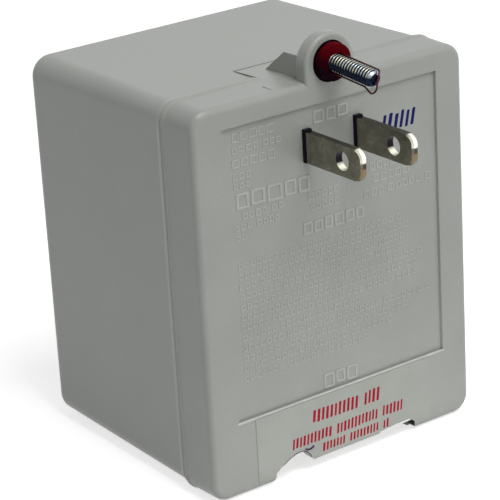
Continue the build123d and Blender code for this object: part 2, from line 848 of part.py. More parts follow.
# Tape band over the cut-off, bonded to the primary's wrap by a flap above and below
with BuildPart() as cutoff_band:
    band_x = (cutoff_left_x + cutoff_right_x) / 2 - band_width / 2
    band_inner = cutoff_radius + cutoff_gap
    band_outer = band_inner + band_thickness
    with BuildSketch(Plane.YZ.offset(band_x)):
        with Locations((cutoff_y, cutoff_z)):
            Circle(band_outer)
            Rectangle(band_inner, 2 * band_outer, align=(Align.MIN, Align.CENTER))
        with Locations((wrap_front_y, cutoff_z)):
            Rectangle(band_thickness, 2 * (band_outer + band_flap), align=(Align.MAX, Align.CENTER))
        with Locations((cutoff_y, cutoff_z)):
            Circle(band_inner, mode=Mode.SUBTRACT)
            Rectangle(band_inner, 2 * band_inner, align=(Align.MIN, Align.CENTER), mode=Mode.SUBTRACT)
        with Locations((wrap_front_y, cutoff_z)):
            Rectangle(band_outer, 2 * band_outer, align=(Align.MIN, Align.CENTER), mode=Mode.SUBTRACT)
    extrude(amount=band_width)
finish(cutoff_band, "cutoff_band")

# Terminal block under the pocket's roof, pegged through it
block_low_z = pocket_top_z - block_height
block_back_y = face_y + block_front + block_length
block_half = pocket_half_width - block_side_gap
with BuildPart() as terminal_block:
    extrude(
        block_sketch(block_back_y, -block_half, block_half, block_low_z, pocket_top_z),
        amount=block_length,
    )
    chamfer(terminal_block.faces().sort_by(Axis.Z)[0].edges(), length=block_chamfer)
    with BuildSketch(Plane.XY.offset(pocket_top_z)):
        with Locations((0, peg_y)):
            with GridLocations(terminal_x, 0, 2, 1):
                Circle(block_peg_radius)
    extrude(amount=pocket_wall + block_peg_head)
    with BuildSketch(Plane.XY.offset(block_low_z)):
        with Locations((0, face_y + terminal_y)):
            with GridLocations(2 * terminal_x, 0, 2, 1):
                Circle(binding_shank_radius + binding_gap)
    extrude(amount=binding_shank_length - plate_thickness + binding_gap, mode=Mode.SUBTRACT)
    with BuildSketch(Plane.XY.offset(block_low_z)):
        with Locations((0, tail_y)):
            with GridLocations(2 * terminal_x, 0, 2, 1):
                Rectangle(plate_tail_width + 2 * plate_tail_gap, plate_thickness + 2 * plate_tail_gap)
    extrude(amount=block_height, mode=Mode.SUBTRACT)
finish(terminal_block, "terminal_block")

# Terminal plates under the block, each with a tail that rises into the case
plate_low_z = block_low_z - plate_thickness
tail_top_z = floor_z + plate_tail_rise
for name, x in (("terminal_plate_left", -terminal_x), ("terminal_plate_right", terminal_x)):
    with BuildPart() as plate:
        with BuildSketch(Plane.XY.offset(plate_low_z)):
            with Locations((x, face_y + terminal_y)):
                Rectangle(plate_width, plate_length)
                Circle(binding_shank_radius + binding_gap, mode=Mode.SUBTRACT)
        extrude(amount=plate_thickness)
        with BuildSketch(Plane.XY.offset(plate_low_z)):
            with Locations((x, tail_y)):
                Rectangle(plate_tail_width, plate_thickness)
        extrude(amount=tail_top_z - plate_low_z)
    finish(plate, name)

# Two binding screws, heads down
with BuildPart() as terminal_screws:
    with BuildSketch(Plane.XY.offset(plate_low_z)) as heads:
        with Locations((0, face_y + terminal_y)):
            with GridLocations(2 * terminal_x, 0, 2, 1):
                Circle(binding_head_radius)
    extrude(amount=-binding_head_height)
    rims = terminal_screws.edges().filter_by(GeomType.CIRCLE).group_by(Axis.Z)[0]
    chamfer(rims, length=binding_head_height / 3)
    with BuildSketch(Plane.XY.offset(plate_low_z)):
        with Locations((0, face_y + terminal_y)):
            with GridLocations(2 * terminal_x, 0, 2, 1):
                Circle(binding_shank_radius)
    extrude(amount=binding_shank_length)
    with BuildSketch(Plane.XY.offset(plate_low_z - binding_head_height)):
        with Locations((0, face_y + terminal_y)):
            with GridLocations(2 * terminal_x, 0, 2, 1):
                Rectangle(binding_slot_width, 3 * binding_head_radius)
    extrude(amount=binding_slot_depth, mode=Mode.SUBTRACT)
finish(terminal_screws, "terminal_screws")

# Pigtail fuse in the secondary, under the bobbin's lower rail and in line with the right terminal
fuse_z = low_pin_z - rail_height / 2 - fuse_rail_gap - sleeve_wall - cutoff_gap - fuse_radius
fuse_end_x = terminal_x - fuse_stub
fuse_right_x = fuse_end_x - fuse_wire_reach
fuse_left_x = fuse_right_x - fuse_length
with BuildPart() as secondary_fuse:
    with BuildSketch(Plane.YZ.offset(fuse_left_x)):
        with Locations((tail_y, fuse_z)):
            Circle(fuse_radius)
    extrude(amount=fuse_length)
    chamfer(secondary_fuse.edges().filter_by(GeomType.CIRCLE), length=fuse_radius / 3)
    with BuildSketch(Plane.YZ.offset(fuse_left_x - fuse_wire_reach)):
        with Locations((tail_y, fuse_z)):
            Circle(fuse_wire_radius)
    extrude(amount=fuse_length + 2 * fuse_wire_reach)
finish(secondary_fuse, "secondary_fuse")

with BuildPart() as fuse_sleeve:
    with BuildSketch(Plane.YZ.offset(fuse_left_x - sleeve_overrun)):
        with Locations((tail_y, fuse_z)):
            Circle(fuse_radius + cutoff_gap + sleeve_wall)
            Circle(fuse_radius + cutoff_gap, mode=Mode.SUBTRACT)
    extrude(amount=fuse_length + 2 * sleeve_overrun)
finish(fuse_sleeve, "fuse_sleeve")

# Insulated leads, each from face to face
tail_low_z = blade_z - tail_width / 2
pin_low_z = low_pin_z - pin_diameter / 2
pin_top_z = high_pin_z + pin_diameter / 2
fuse_start_x = fuse_left_x - fuse_wire_reach
lead_routes = {
    "primary_lead_left": [
        (-blade_x, tail_mid_y, tail_low_z),
        (-blade_x, tail_mid_y, pin_top_z),
    ],
    "primary_lead_right": [
        (blade_x, tail_mid_y, tail_low_z),
        (blade_x, tail_mid_y, tail_low_z - lead_stub),
        (cutoff_end_x + 2 * lead_stub, cutoff_y, cutoff_z),
        (cutoff_end_x, cutoff_y, cutoff_z),
    ],
    "secondary_lead_left": [
        (-secondary_pin_left_x, pin_y, pin_low_z),
        (-secondary_pin_left_x, pin_y, pin_low_z - lead_stub),
        (-terminal_x, tail_y, tail_top_z + lead_stub),
        (-terminal_x, tail_y, tail_top_z),
    ],
    "secondary_lead_right": [
        (-secondary_pin_right_x, pin_y, pin_low_z),
        (-secondary_pin_right_x, pin_y, fuse_z),
        (fuse_start_x - lead_stub, tail_y, fuse_z),
        (fuse_start_x, tail_y, fuse_z),
    ],
    "fuse_lead": [
        (fuse_end_x, tail_y, fuse_z),
        (terminal_x, tail_y, fuse_z),
        (terminal_x, tail_y, tail_top_z),
    ],
}
for name, route in lead_routes.items():
    with BuildPart() as lead:
        if len(route) > 2:
            line = lead_path(route, lead_bend)
        else:
            line = Line(*route)
        with BuildSketch(Plane(origin=line @ 0, z_dir=line % 0)):
            Circle(lead_radius)
        sweep(path=line)
    finish(lead, name)
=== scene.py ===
import json
import math
import random

import bmesh
import bpy
from mathutils import Matrix, Vector


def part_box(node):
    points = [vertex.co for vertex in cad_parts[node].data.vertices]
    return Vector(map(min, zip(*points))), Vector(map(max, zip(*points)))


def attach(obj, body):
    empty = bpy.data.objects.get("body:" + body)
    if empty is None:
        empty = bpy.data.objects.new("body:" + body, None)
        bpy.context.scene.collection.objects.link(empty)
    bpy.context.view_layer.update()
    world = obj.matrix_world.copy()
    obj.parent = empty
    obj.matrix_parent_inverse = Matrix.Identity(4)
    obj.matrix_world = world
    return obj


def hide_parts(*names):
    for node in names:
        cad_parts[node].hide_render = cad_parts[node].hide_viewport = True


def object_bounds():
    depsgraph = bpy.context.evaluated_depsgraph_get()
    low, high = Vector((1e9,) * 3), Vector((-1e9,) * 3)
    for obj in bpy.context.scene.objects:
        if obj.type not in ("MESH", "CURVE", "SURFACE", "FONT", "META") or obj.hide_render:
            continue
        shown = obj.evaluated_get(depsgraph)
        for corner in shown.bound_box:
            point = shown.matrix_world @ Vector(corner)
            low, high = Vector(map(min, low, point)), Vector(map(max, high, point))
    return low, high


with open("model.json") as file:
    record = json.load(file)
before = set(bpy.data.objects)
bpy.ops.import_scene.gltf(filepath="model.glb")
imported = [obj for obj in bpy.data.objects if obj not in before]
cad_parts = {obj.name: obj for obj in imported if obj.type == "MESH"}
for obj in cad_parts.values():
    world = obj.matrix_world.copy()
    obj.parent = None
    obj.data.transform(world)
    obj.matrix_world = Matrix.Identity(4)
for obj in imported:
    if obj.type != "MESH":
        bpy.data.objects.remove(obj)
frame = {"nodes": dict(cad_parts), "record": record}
low_start, high_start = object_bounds()

MM = 0.001
nodes = frame["nodes"]

# Sizes and places of the part that the materials and pieces below follow, in millimetres
rim_step = 0.65
front_step = 0.25
panel_sink = 0.55
panel_bottom_margin = 15.8
panel_draft_run = 0.147
tongue_half_width = 10.2
blade_width = 6.35
blade_thickness = 1.52
blade_middle_z = 69.18
recess_middle_z = 85.08


# Materials


class Wiring:
    """Short names for adding nodes to one tree."""

    def __init__(self, tree):
        self.tree = tree

    def node(self, kind, **values):
        made = self.tree.nodes.new(kind)
        for key, value in values.items():
            setattr(made, key, value)
        return made

    def link(self, source, target):
        self.tree.links.new(source, target)

    def ramp(self, value, low, high, first=0.0, last=1.0):
        """Runs from first to last while value runs from low to high."""
        made = self.node("ShaderNodeMapRange")
        made.inputs["From Min"].default_value = low
        made.inputs["From Max"].default_value = high
        made.inputs["To Min"].default_value = first
        made.inputs["To Max"].default_value = last
        self.link(value, made.inputs["Value"])
        return made.outputs["Result"]

    def maths(self, what, a, b=0.0):
        made = self.node("ShaderNodeMath", operation=what)
        for socket, value in zip(made.inputs, (a, b)):
            if isinstance(value, (int, float)):
                socket.default_value = value
            else:
                self.link(value, socket)
        return made.outputs["Value"]

    def mix(self, factor, first, second):
        """Blends two colours, each a colour or a socket."""
        made = self.node("ShaderNodeMix", data_type="RGBA")
        self.link(factor, made.inputs[0])
        for socket, value in ((made.inputs[6], first), (made.inputs[7], second)):
            if isinstance(value, tuple):
                socket.default_value = (*value, 1.0)
            else:
                self.link(value, socket)
        return made.outputs[2]

    def split(self, vector):
        """The X, Y and Z sockets of a vector."""
        made = self.node("ShaderNodeSeparateXYZ")
        self.link(vector, made.inputs["Vector"])
        return made.outputs


class Paint(Wiring):
    """One procedural material on object coordinates."""

    def __init__(self, name):
        self.material = bpy.data.materials.new(name)
        self.material.use_nodes = True
        super().__init__(self.material.node_tree)
        self.shader = self.tree.nodes["Principled BSDF"]
        coordinates = self.node("ShaderNodeTexCoord")
        self.place = coordinates.outputs["Object"]
        self.facing = coordinates.outputs["Normal"]
        self.height = None

    def stretched(self, x, y, z, turn=(0, 0, 0)):
        mapping = self.node("ShaderNodeMapping")
        mapping.inputs["Scale"].default_value = (x, y, z)
        mapping.inputs["Rotation"].default_value = turn
        self.link(self.place, mapping.inputs["Vector"])
        return mapping.outputs["Vector"]

    def noise(self, size, detail=3.0, rough=0.5, where=None):
        """Noise whose features are about size millimetres across."""
        made = self.node("ShaderNodeTexNoise")
        made.inputs["Scale"].default_value = 1.0 / (size * MM)
        made.inputs["Detail"].default_value = detail
        made.inputs["Roughness"].default_value = rough
        self.link(where or self.place, made.inputs["Vector"])
        return made.outputs["Fac"]

    def speckle(self, size):
        """Distance to the nearest of many points about size millimetres apart."""
        made = self.node("ShaderNodeTexVoronoi")
        made.inputs["Scale"].default_value = 1.0 / (size * MM)
        self.link(self.place, made.inputs["Vector"])
        return made.outputs["Distance"]

    def colour(self, value):
        self.link(value, self.shader.inputs["Base Color"])

    def roughness(self, value):
        self.link(value, self.shader.inputs["Roughness"])

    def set(self, **values):
        for key, value in values.items():
            self.shader.inputs[key.replace("_", " ")].default_value = value

    def bump(self, value, depth):
        """Adds relief of depth millimetres; calls stack up."""
        made = self.node("ShaderNodeBump")
        made.inputs["Distance"].default_value = depth * MM
        made.inputs["Strength"].default_value = 1.0
        self.link(value, made.inputs["Height"])
        if self.height is not None:
            self.link(self.height, made.inputs["Normal"])
        self.height = made.outputs["Normal"]
        self.link(self.height, self.shader.inputs["Normal"])


def srgb(r, g, b):
    """A linear colour from screen values of 0 to 255."""
    return tuple(((c / 255 + 0.055) / 1.055) ** 2.4 if c > 10 else c / 255 / 12.92 for c in (r, g, b))


def case_plastic(name, dark, light):
    """Moulded case plastic with a fine satin grain, faint clouds, flecks, scuffs and dust."""
    p = Paint(name)
    cloud = p.noise(17.0, 2.0)
    fleck = p.noise(0.45, 2.0)
    scuff = p.ramp(p.noise(2.4, 4.0, 0.6, p.stretched(1, 1, 0.09, (0.3, 0.5, 0.2))), 0.64, 0.72)
    dust = p.ramp(p.speckle(2.3), 0.10, 0.04)
    base = p.mix(p.ramp(cloud, 0.35, 0.65), dark, light)
    base = p.mix(p.ramp(fleck, 0.3, 0.7, 0.0, 0.35), base, srgb(152, 155, 150))
    base = p.mix(p.maths("MULTIPLY", scuff, 0.12), base, srgb(190, 192, 188))
    base = p.mix(p.maths("MULTIPLY", dust, 0.10), base, srgb(116, 118, 112))
    p.colour(base)
    p.roughness(p.maths("ADD", p.ramp(cloud, 0.3, 0.7, 0.34, 0.42), p.maths("MULTIPLY", scuff, 0.1)))
    p.bump(p.noise(9.0, 1.0), 0.02)
    p.bump(p.noise(0.28, 3.0), 0.012)
    return p.material


def blade_painted_light(p, base):
    """Painted shade along the strip's edges and in the hole, painted highlights at the tip's top and the
    hole's lower side, and a lighter painted reflection on the tip's lower part.
    """
    hole_reach = (2.3 * MM, 2.1 * MM)
    behind_tip_y = (-35.3 * MM, -35.1 * MM)
    tip_y = (-36.3 * MM, -36.6 * MM)
    tip_lower_reflection_z = (68.9 * MM, 68.5 * MM)
    tip_glint_z = (69.7 * MM, 70.1 * MM)
    place = p.split(p.place)
    facing = p.split(p.facing)
    edge = p.ramp(p.maths("ABSOLUTE", facing[0]), 0.85, 0.6)
    from_middle = p.maths("ABSOLUTE", p.maths("SUBTRACT", place[2], blade_middle_z * MM))
    near_hole = p.maths("MULTIPLY", p.ramp(from_middle, *hole_reach), p.ramp(place[1], *behind_tip_y))
    in_hole = p.maths("MULTIPLY", edge, near_hole)
    at_tip = p.maths("MULTIPLY", edge, p.ramp(place[1], *tip_y))
    tip_lower_reflection = p.maths("MULTIPLY", at_tip, p.ramp(place[2], *tip_lower_reflection_z))
    hole_glint = p.maths("MULTIPLY", in_hole, p.ramp(facing[2], 0.4, 0.75))
    tip_glint = p.maths("MULTIPLY", at_tip, p.ramp(place[2], *tip_glint_z))
    # Painted shade on the narrow faces, darker painted shade in the hole
    base = p.mix(edge, base, srgb(70, 64, 53))
    base = p.mix(in_hole, base, srgb(30, 26, 28))
    # Painted reflection, a lighter brown, on the tip's lower part
    base = p.mix(tip_lower_reflection, base, srgb(124, 110, 82))
    # Painted highlights at the tip's top and on the hole's upward faces
    return p.mix(p.maths("MAXIMUM", hole_glint, tip_glint), base, srgb(252, 250, 232))


def rolled_metal(name, light, dark, rough, grain=0.006, lay=(1, 0.05, 1), edges=None):
    """Plated or rolled metal with fine lines along its length and faint stains."""
    p = Paint(name)
    lines = p.noise(0.22, 3.0, 0.6, p.stretched(*lay))
    stain = p.noise(2.6, 3.0, 0.6)
    pits = p.ramp(p.speckle(0.8), 0.12, 0.05)
    base = p.mix(p.ramp(stain, 0.35, 0.68), light, dark)
    base = p.mix(p.ramp(lines, 0.4, 0.65, 0.0, 0.35), base, dark)
    base = p.mix(p.maths("MULTIPLY", pits, 0.3), base, tuple(c * 0.45 for c in dark))
    p.colour(edges(p, base) if edges else base)
    uneven = p.maths("ADD", p.maths("MULTIPLY", stain, 0.6), p.maths("MULTIPLY", lines, 0.4))
    p.roughness(p.ramp(uneven, 0.35, 0.7, rough - 0.06, rough + 0.1))
    p.set(Metallic=1.0)
    p.bump(lines, grain)
    p.bump(p.noise(1.4, 2.0), 0.01)
    return p.material


def soft_plastic(name, light, dark, rough=0.45, relief=0.01):
    """Moulded plastic or vinyl with slight mottling and rub marks."""
    p = Paint(name)
    cloud = p.noise(3.5, 3.0)
    rub = p.ramp(p.noise(0.9, 4.0, 0.65, p.stretched(1, 0.15, 1, (0.2, 0.1, 0.6))), 0.6, 0.72)
    base = p.mix(p.ramp(cloud, 0.35, 0.65), light, dark)
    base = p.mix(p.maths("MULTIPLY", rub, 0.25), base, tuple(min(1.0, c * 1.5 + 0.02) for c in light))
    p.colour(base)
    uneven = p.ramp(cloud, 0.3, 0.7, rough - 0.05, rough + 0.06)
    p.roughness(p.maths("ADD", uneven, p.maths("MULTIPLY", rub, 0.12)))
    p.bump(p.noise(0.25, 3.0), relief)
    return p.material


def fibre():
    """Deep red vulcanised fibre, with painted shade towards the lower left."""
    p = Paint("red_fibre")
    strands = p.noise(0.35, 4.0, 0.65, p.stretched(1, 1, 0.3, (0.4, 0.2, 0.1)))
    cloud = p.noise(2.2, 2.0)
    place = p.split(p.place)
    lower_left = p.maths("ADD", p.maths("MULTIPLY", place[0], -0.6), p.maths("MULTIPLY", place[2], -0.8))
    lower_left_shade = p.ramp(lower_left, -69.6 * MM, -65.4 * MM)
    base = p.mix(p.ramp(strands, 0.35, 0.65), srgb(76, 2, 12), srgb(104, 4, 14))
    base = p.mix(p.ramp(cloud, 0.4, 0.7, 0.0, 0.4), base, srgb(54, 2, 10))
    # Painted shade, darkening the face towards the lower left
    base = p.mix(lower_left_shade, base, srgb(22, 1, 13))
    p.colour(base)
    p.roughness(p.ramp(strands, 0.3, 0.7, 0.5, 0.66))
    p.set(Specular_IOR_Level=0.02)
    p.bump(strands, 0.02)
    return p.material


def banded(name, light, dark, pitch, axis, rough, metallic=0.0, relief=0.06):
    """Layers or turns seen edge on: fine parallel lines at a real pitch."""
    p = Paint(name)
    wave = p.maths("SINE", p.maths("MULTIPLY", p.split(p.place)[axis], 2 * math.pi / (pitch * MM)))
    drift = p.noise(6.0, 3.0)
    base = p.mix(p.ramp(wave, -0.8, 0.6), dark, light)
    base = p.mix(p.ramp(drift, 0.4, 0.7, 0.0, 0.45), base, tuple(c * 0.7 for c in light))
    p.colour(base)
    p.roughness(p.ramp(drift, 0.3, 0.7, rough - 0.06, rough + 0.08))
    p.set(Metallic=metallic)
    p.bump(p.ramp(wave, -1, 1), relief)
    return p.material


def ceramic():
    """Matt ceramic of the fuse's body."""
    p = Paint("fuse_ceramic")
    cloud = p.noise(1.2, 3.0)
    base = p.mix(p.ramp(cloud, 0.35, 0.65), srgb(224, 216, 198), srgb(206, 197, 178))
    base = p.mix(p.ramp(p.speckle(0.35), 0.1, 0.02, 0.0, 0.3), base, srgb(150, 140, 122))
    p.colour(base)
    p.roughness(p.ramp(cloud, 0.3, 0.7, 0.5, 0.66))
    p.bump(p.noise(0.2, 2.0), 0.012)
    return p.material


def tape(name):
    """Creased polyester tape."""
    p = Paint(name)
    creases = p.noise(1.6, 4.0, 0.6, p.stretched(0.3, 0.3, 1))
    base = p.mix(p.ramp(creases, 0.35, 0.65), srgb(226, 190, 62), srgb(205, 166, 44))
    p.colour(base)
    p.roughness(p.ramp(creases, 0.3, 0.7, 0.22, 0.36))
    p.bump(creases, 0.05)
    return p.material


def film():
    """Thin film on the case, which shows the plastic's colour, with a painted highlight on its side-facing
    cut edges.
    """
    p = Paint("clear_film")
    cloud = p.noise(6.0, 2.0)
    scratch = p.ramp(p.noise(1.2, 4.0, 0.6, p.stretched(0.08, 1, 1, (0, 0.4, 0))), 0.64, 0.72)
    base = p.mix(p.ramp(cloud, 0.35, 0.65), srgb(163, 166, 159), srgb(168, 171, 164))
    base = p.mix(p.maths("MULTIPLY", scratch, 0.15), base, srgb(190, 192, 186))
    # Painted light: faces turned to the sides are lightened against their shade
    lit_cut_edge = p.ramp(p.maths("ABSOLUTE", p.split(p.facing)[0]), 0.5, 0.9)
    base = p.mix(lit_cut_edge, base, srgb(206, 208, 202))
    p.colour(base)
    p.roughness(p.maths("ADD", p.ramp(cloud, 0.3, 0.7, 0.3, 0.38), p.maths("MULTIPLY", scratch, 0.15)))
    p.bump(p.noise(4.0, 2.0), 0.02)
    return p.material


def ink_and_painted_shade(name, light, dark):
    """Thin printed ink, uneven where it is thin; also the flat dark paint of the painted shade pieces."""
    p = Paint(name)
    blot = p.noise(0.5, 3.0)
    base = p.mix(p.ramp(blot, 0.35, 0.7), light, dark)
    p.colour(base)
    p.roughness(p.ramp(blot, 0.3, 0.7, 0.4, 0.55))
    p.set(Specular_IOR_Level=0.12)
    p.bump(blot, 0.004)
    return p.material


def threaded_zinc():
    """Zinc on the screw, with painted shade in the thread's grooves and the tip's cup, a painted dark
    reflection along the middle of its side, and painted bright reflections above it and along its lower edge.
    Z runs along the shank, Y up.
    """
    end_z = (11.2 * MM, 11.35 * MM)
    rim_radius = (0.75 * MM, 0.85 * MM)
    crest_radius = (1.60 * MM, 1.73 * MM)
    bright_above = (0.7 * MM, 1.4 * MM)
    bright_below = (-0.85 * MM, -1.05 * MM)
    p = Paint("threaded_zinc")
    place = p.split(p.place)
    square = p.maths("ADD", p.maths("POWER", place[0], 2.0), p.maths("POWER", place[1], 2.0))
    radius = p.maths("SQRT", square)
    rim = p.maths("MULTIPLY", p.ramp(place[2], *end_z), p.ramp(radius, *rim_radius))
    crest = p.maths("MAXIMUM", p.ramp(radius, *crest_radius), rim)
    stain = p.noise(1.1, 3.0)
    tint = p.noise(2.0, 2.0)
    plate = p.mix(p.ramp(tint, 0.4, 0.6), srgb(206, 206, 182), srgb(164, 176, 190))
    plate = p.mix(p.ramp(stain, 0.45, 0.7, 0.0, 0.5), plate, srgb(160, 152, 108))
    level = p.maths("ADD", place[1], p.maths("MULTIPLY", stain, 0.8 * MM))
    # Painted reflections: bright above the middle and along the lower edge, dark in between
    lit_reflection = p.maths("MAXIMUM", p.ramp(level, *bright_above), p.ramp(level, *bright_below))
    plate = p.mix(lit_reflection, srgb(24, 33, 46), plate)
    # Painted shade in the grooves and in the tip's cup; the crests and the end's rim keep the plate
    p.colour(p.mix(crest, srgb(16, 20, 30), plate))
    p.roughness(p.ramp(stain, 0.3, 0.7, 0.16, 0.3))
    p.set(Metallic=1.0)
    p.bump(p.noise(0.3, 2.0), 0.008)
    return p.material


even_lay = (1, 1, 1)
finishes = {
    "case_plastic": case_plastic("case_plastic", srgb(159, 162, 157), srgb(165, 168, 163)),
    "blade_nickel": rolled_metal(
        "blade_nickel", srgb(150, 147, 134), srgb(122, 118, 104), 0.3, edges=blade_painted_light
    ),
    "zinc_screw": rolled_metal(
        "zinc_screw", srgb(214, 213, 205), srgb(180, 178, 168), 0.24, 0.004, even_lay
    ),
    "red_fibre": fibre(),
    "loop_wire": rolled_metal("loop_wire", srgb(86, 42, 50), srgb(48, 22, 32), 0.4, 0.004),
    "clear_film": film(),
    "silicon_steel": banded("silicon_steel", srgb(96, 97, 102), srgb(48, 48, 52), 0.5, 1, 0.5, 0.6),
    "frame_steel": rolled_metal(
        "frame_steel", srgb(186, 188, 186), srgb(150, 152, 150), 0.36, 0.006, (1, 1, 0.1)
    ),
    "bobbin_nylon": soft_plastic("bobbin_nylon", srgb(232, 228, 212), srgb(220, 214, 196), 0.42),
    "enamelled_copper": banded("enamelled_copper", srgb(196, 118, 66), srgb(110, 52, 28), 0.35, 2, 0.28, 0.8),
    "winding_tape": tape("winding_tape"),
    "tinned_pin": rolled_metal(
        "tinned_pin", srgb(208, 208, 202), srgb(168, 168, 160), 0.3, 0.004, even_lay
    ),
    "dark_plastic": soft_plastic("dark_plastic", srgb(40, 40, 42), srgb(26, 26, 28), 0.4),
    "terminal_brass": rolled_metal("terminal_brass", srgb(214, 186, 116), srgb(176, 144, 78), 0.28),
    "fuse_ceramic": ceramic(),
    "fuse_sleeve": soft_plastic("fuse_sleeve", srgb(120, 116, 104), srgb(98, 94, 84), 0.55),
    "lead_black": soft_plastic("lead_black", srgb(34, 34, 35), srgb(20, 20, 22), 0.38, 0.006),
    "lead_white": soft_plastic("lead_white", srgb(222, 220, 210), srgb(204, 200, 188), 0.38, 0.006),
}
for part in frame["record"]["subparts"]:
    mesh = nodes[part["node"]].data
    mesh.materials.clear()
    mesh.materials.append(finishes[part["material_slot"]])


class Shape:
    """Points and faces of one piece, gathered bit by bit."""

    def __init__(self):
        self.points = []
        self.faces = []

    def join_rings(self, first, count, around):
        """Joins count rings of points, which follow one another from the point first, with faces."""
        for i in range(count - 1):
            low, high = first + i * around, first + (i + 1) * around
            for k in range(around):
                n = (k + 1) % around
                self.faces.append((low + k, low + n, high + n, high + k))


def make_object(name, shape, material, matrix=None, smooth=False):
    """Makes one piece that rides the part's only body."""
    mesh = bpy.data.meshes.new(name)
    mesh.from_pydata(shape.points, [], shape.faces)
    mesh.validate()
    mesh.materials.append(material)
    if smooth:
        for face in mesh.polygons:
            face.use_smooth = True
    made = bpy.data.objects.new(name, mesh)
    bpy.context.scene.collection.objects.link(made)
    if matrix is not None:
        made.matrix_world = matrix
    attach(made, "root")
    return made


def axes_matrix(x_axis, y_axis, z_axis, place):
    """World matrix of an object from its three axes and its place."""
    return Matrix((
        (x_axis.x, y_axis.x, z_axis.x, place.x),
        (x_axis.y, y_axis.y, z_axis.y, place.y),
        (x_axis.z, y_axis.z, z_axis.z, place.z),
        (0, 0, 0, 1),
    ))


# The wall-side face, the floor of its sunk panel and the front of the film
cover_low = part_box("front_cover")[0]
face_y = cover_low.y
panel_y = face_y + panel_sink * MM
film_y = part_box("label_film")[0].y


# Raised marks as rows of plain open boxes, and print as rows of plain bars.
# A mark starts mark_foot below its plane, and bars finer than fine_mark get one point at each corner.
mark_foot = 0.02
bevel_share = 0.25
bevel_start = 0.6
fine_mark = 0.4
level_bar_share = 0.92
mark_widths = (0.85, 1.15)
mark_heights = (0.86, 1.0)
mark_drops = (-0.5, 0.5)
group_gap = 1.4


def bar(shape, x, z, width, height, y, rise, lean=0.0):
    """One bevelled bar, in metres, standing rise off the plane y, towards -Y."""
    start = len(shape.points)
    inset = min(width, height) * bevel_share
    turns = (0.0, 0.5, 1.0) if min(width, height) > fine_mark * MM else (0.5,)
    levels = ((mark_foot * MM, 0.0), (-bevel_start * rise, 0.0), (-rise, inset))
    for depth, cut in levels:
        half_x, half_z = width / 2 - cut, height / 2 - cut
        corner = min(half_x, half_z) * 0.5
        for sx, sz in ((1, 1), (-1, 1), (-1, -1), (1, -1)):
            for turn in turns:
                angle = math.radians(90 * turn)
                a, b = math.cos(angle), math.sin(angle)
                if sx * sz < 0:
                    a, b = b, a
                dx = sx * (half_x - corner + corner * a)
                dz = sz * (half_z - corner + corner * b)
                shape.points.append((x + dx + lean * dz, y + depth, z + dz))
    around = 4 * len(turns)
    shape.join_rings(start, len(levels), around)
    shape.faces.append(tuple(start + 2 * around + i for i in range(around)))


def frame_mark(shape, x, z, width, height, stroke, y, rise):
    """One plain open box of four bars, its level bars a little lower than its upright ones."""
    for side in (-0.5, 0.5):
        upright_x = x + side * (width - stroke)
        bar(shape, upright_x * MM, z * MM, stroke * MM, height * MM, y, rise * MM)
    for level in (-0.5, 0.5):
        level_z = z + level * (height - stroke)
        bar(shape, x * MM, level_z * MM, width * MM, stroke * MM, y, level_bar_share * rise * MM)


def row(shape, left, right, z, height, stroke, gap, y, rise, pick, lean=0.0, words=(3, 8), cell=0.0):
    """Plain marks in groups between two ends: bars, or open boxes where cell gives their width."""
    x = left
    while x < right - stroke:
        for _ in range(pick.randint(*words)):
            width = max(stroke, cell) * pick.uniform(*mark_widths)
            if x + width > right:
                break
            tall = height * pick.uniform(*mark_heights)
            drop = (height - tall) * pick.uniform(*mark_drops)
            middle = x + width / 2
            if cell:
                frame_mark(shape, middle, z + drop, width, tall, stroke, y, rise)
            else:
                bar(shape, middle * MM, (z + drop) * MM, width * MM, tall * MM, y, rise * MM, lean)
            x += width + gap
        x += group_gap * gap + stroke


# Left end, right end, height above the floor, size, stroke and gap of each large row
large_rows = (
    (-4.4, 4.8, 74.4, 2.8, 0.5, 0.5),
    (-23.8, -4.2, 61.7, 3.7, 0.55, 0.6),
    (-8.0, 8.2, 52.2, 2.7, 0.45, 0.5),
    (-4.7, 5.0, 18.3, 3.2, 0.5, 0.5),
)
# Left end, right end, height above the floor and size of each small row
small_rows = (
    (-24.0, -13.3, 74.8, 2.1),
    (-24.2, -12.2, 72.2, 1.5),
    (-24.3, -13.4, 69.6, 2.0),
    (-24.3, -18.4, 67.0, 1.5),
    (-24.2, -19.0, 65.0, 1.2),
    (-22.6, -12.2, 58.7, 1.5),
    (-24.4, -13.0, 56.5, 1.4),
    (-24.4, -20.5, 54.5, 1.3),
    (-6.5, 1.8, 58.6, 1.5),
    (-6.0, 2.0, 56.2, 1.4),
    (9.2, 18.0, 60.9, 1.8),
    (10.0, 19.4, 58.2, 1.8),
    (7.4, 25.6, 55.5, 1.7),
)
box_share = 0.85
large_rise = 0.15
small_rise = 0.1
small_stroke = 0.32
small_gap = 0.34
line_ends = (17, 18.5, 19, 18, 22, 20.5, 21, 6, 24, 19, 14, 8)
line_left = -24.2
line_top_z = 48.6
line_pitch = 2.15
line_height = 1.35
line_stroke = 0.28
line_gap = 0.3
line_rise = 0.09
line_cell = 1.15

pick = random.Random(11)
marks = Shape()
for left, right, z, height, stroke, gap in large_rows:
    cell = box_share * height
    row(marks, left, right, z, height, stroke, gap, panel_y, large_rise, pick, words=(9, 9), cell=cell)
for left, right, z, height in small_rows:
    cell = box_share * height
    row(marks, left, right, z, height, small_stroke, small_gap, panel_y, small_rise, pick, cell=cell)
for count, right in enumerate(line_ends):
    z = line_top_z - line_pitch * count
    row(marks, line_left, right, z, line_height, line_stroke, line_gap, panel_y, line_rise, pick,
        cell=line_cell)
# A lighter copy of the case plastic: painted highlight for the light that the marks' edges catch
marks_painted_highlight = case_plastic("marks_painted_highlight", srgb(176, 179, 173), srgb(184, 187, 181))
make_object("moulded_marks", marks, marks_painted_highlight)

